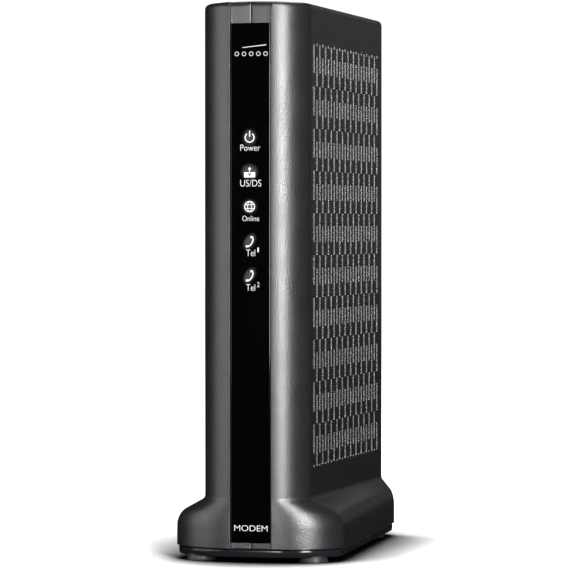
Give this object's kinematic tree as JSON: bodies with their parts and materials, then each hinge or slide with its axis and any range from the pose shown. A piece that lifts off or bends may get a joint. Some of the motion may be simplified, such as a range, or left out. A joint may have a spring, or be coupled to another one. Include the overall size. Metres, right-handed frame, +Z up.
{
  "type": "cable modem",
  "caption": "Upright cable modem with telephone ports: slim two-part vented case on a flared foot, glossy light strip, rear ports and a recessed reset button.",
  "frame": {"origin": "middle of the bounding box at the floor, under the feet", "axes": "+Z up, -Y is the front with the light strip, +X is to the right when looking at the front"},
  "size_m": [0.067, 0.146, 0.216],
  "materials": {
    "textured_plastic": "fine spark-eroded texture with a soft satin sheen, dark charcoal",
    "black_plastic": "fine matt black moulding",
    "gloss_black": "polished black plastic",
    "foot_rubber": "black elastomer pad",
    "light_pipe": "clear polished light guide, lit white from behind",
    "led_white": "white light-emitting diode package, lit; also the lit status icons it shows through the lens",
    "board_green": "green solder mask",
    "chip_black": "black moulded package",
    "bright_metal": "zinc-plated steel",
    "nickel": "bright nickel plating",
    "insulator_white": "white dielectric",
    "tin_shield": "tin-plated pressed can",
    "sink_aluminium": "extruded aluminium",
    "thermal_pad": "soft blue-grey silicone pad",
    "capacitor_sleeve": "dark printed-film sleeve",
    "jack_shield": "nickel-plated pressed shield",
    "phone_jack": "dark grey moulded socket",
    "button_red": "red moulded plunger",
    "label_silver": "blank silver polyester label"
  },
  "bodies": {
    "root": {"right_housing": "textured_plastic", "left_housing": "textured_plastic", "rear_panel": "black_plastic", "light_mask": "black_plastic", "board_link": "black_plastic", "power_jack": "black_plastic", "front_lens": "gloss_black", "base_plate": "gloss_black", "foot_front_left": "foot_rubber", "foot_front_right": "foot_rubber", "foot_rear_left": "foot_rubber", "foot_rear_right": "foot_rubber", "light_pipe_power": "light_pipe", "light_pipe_data": "light_pipe", "light_pipe_online": "light_pipe", "light_pipe_line_1": "light_pipe", "light_pipe_line_2": "light_pipe", "led_power": "led_white", "led_data": "led_white", "led_online": "led_white", "led_line_1": "led_white", "led_line_2": "led_white", "light_board": "board_green", "main_board": "board_green", "processor": "chip_black", "memory_chip": "chip_black", "flash_chip": "chip_black", "phone_line_chip": "chip_black", "ethernet_transformer_1": "chip_black", "ethernet_transformer_2": "chip_black", "power_inductor": "chip_black", "reset_switch": "chip_black", "base_screw_front_left": "bright_metal", "base_screw_front_right": "bright_metal", "base_screw_rear_left": "bright_metal", "base_screw_rear_right": "bright_metal", "board_screw_lower_front": "bright_metal", "board_screw_lower_rear": "bright_metal", "board_screw_upper_front": "bright_metal", "board_screw_upper_rear": "bright_metal", "coax_connector": "nickel", "coax_nut": "nickel", "coax_insulator": "insulator_white", "tuner_shield": "tin_shield", "heat_sink": "sink_aluminium", "thermal_pad": "thermal_pad", "capacitor_1": "capacitor_sleeve", "capacitor_2": "capacitor_sleeve", "capacitor_3": "capacitor_sleeve", "ethernet_jack_1": "jack_shield", "ethernet_jack_2": "jack_shield", "phone_jack_1": "phone_jack", "phone_jack_2": "phone_jack", "blank_label": "label_silver"},
    "reset_button_body": {"reset_button": "button_red"}
  },
  "joints": [
    {"name": "reset_press", "type": "slide", "parent": "root", "child": "reset_button_body", "axis": [0, -1, 0], "range_m": [0, 0.0005], "stiffness_N_per_m": 2500, "springref_m": -0.0002}
  ]
}
